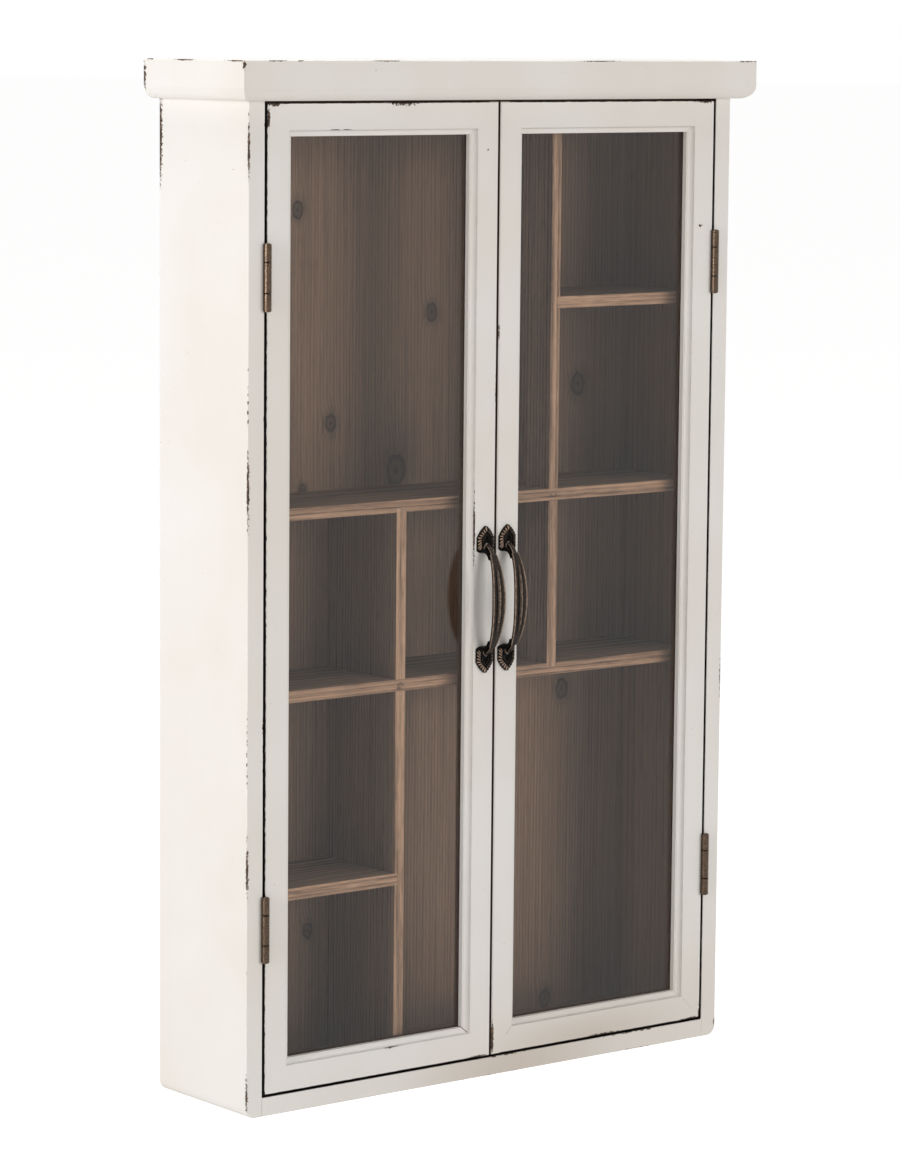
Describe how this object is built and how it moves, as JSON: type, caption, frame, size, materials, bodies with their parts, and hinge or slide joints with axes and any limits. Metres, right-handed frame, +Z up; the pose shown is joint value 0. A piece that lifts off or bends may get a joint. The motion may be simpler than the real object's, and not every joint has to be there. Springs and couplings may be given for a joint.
{
  "type": "display cabinet",
  "caption": "Shallow wall display cabinet with glazed doors, flat cornice, bow pulls and thin crossed shelves that divide the inside into a pinwheel of small compartments",
  "frame": {"origin": "under the middle of the whole object at the base, handles included", "axes": "+X to the right seen from the doors, +Y from the doors to the back, +Z up"},
  "size_m": [0.505, 0.137, 0.8],
  "materials": {
    "painted_wood": "distressed white paint, rubbed to brown wood on the edges",
    "stained_wood": "brown stained softwood with knots, matt",
    "bare_wood": "bare beech",
    "pane": "clear float glass",
    "antique_brass": "darkened brass with rubbed edges",
    "dark_bronze": "nearly black cast bronze with brown highlights",
    "steel": "plain steel",
    "moulded_plastic": "brown moulded plastic"
  },
  "bodies": {
    "carcass": {"back_panel": "stained_wood", "back_panel_pins": "steel", "bottom_panel": "painted_wood", "cap_board": "painted_wood", "cap_screws": "steel", "carcass_dowels": "bare_wood", "catch_magnets": "steel", "catch_screws": "steel", "cornice_front": "painted_wood", "cornice_left": "painted_wood", "cornice_right": "painted_wood", "divider_left": "stained_wood", "divider_right": "stained_wood", "hanging_plate_screws": "steel", "hanging_plates": "antique_brass", "hinge_leaves_carcass_left": "antique_brass", "hinge_leaves_carcass_right": "antique_brass", "hinge_pins_left": "antique_brass", "hinge_pins_right": "antique_brass", "hinge_screws_carcass_left": "antique_brass", "hinge_screws_carcass_right": "antique_brass", "magnet_catch": "moulded_plastic", "shelf_lower_left": "stained_wood", "shelf_middle": "stained_wood", "shelf_nails": "steel", "shelf_upper": "stained_wood", "shelf_upper_right": "stained_wood", "side_panel_left": "painted_wood", "side_panel_right": "painted_wood", "top_panel": "stained_wood"},
    "door_left": {"door_left_beads": "stained_wood", "door_left_bottom_rail": "painted_wood", "door_left_glass": "pane", "door_left_hinge_stile": "painted_wood", "door_left_meeting_stile": "painted_wood", "door_left_top_rail": "painted_wood", "handle_left": "dark_bronze", "handle_screws_left": "steel", "hinge_leaves_door_left": "antique_brass", "hinge_screws_door_left": "antique_brass", "strike_plate_left": "steel", "strike_screw_left": "steel"},
    "door_right": {"door_right_beads": "stained_wood", "door_right_bottom_rail": "painted_wood", "door_right_glass": "pane", "door_right_hinge_stile": "painted_wood", "door_right_meeting_stile": "painted_wood", "door_right_top_rail": "painted_wood", "handle_right": "dark_bronze", "handle_screws_right": "steel", "hinge_leaves_door_right": "antique_brass", "hinge_screws_door_right": "antique_brass", "strike_plate_right": "steel", "strike_screw_right": "steel"}
  },
  "joints": [
    {"name": "left_door_hinge", "type": "hinge", "parent": "carcass", "child": "door_left", "pos_m": [-0.222, -0.0499, 0.3924], "axis": [0, 0, -1], "range_deg": [0, 170]},
    {"name": "right_door_hinge", "type": "hinge", "parent": "carcass", "child": "door_right", "pos_m": [0.222, -0.0499, 0.3924], "axis": [0, 0, 1], "range_deg": [0, 170]}
  ]
}
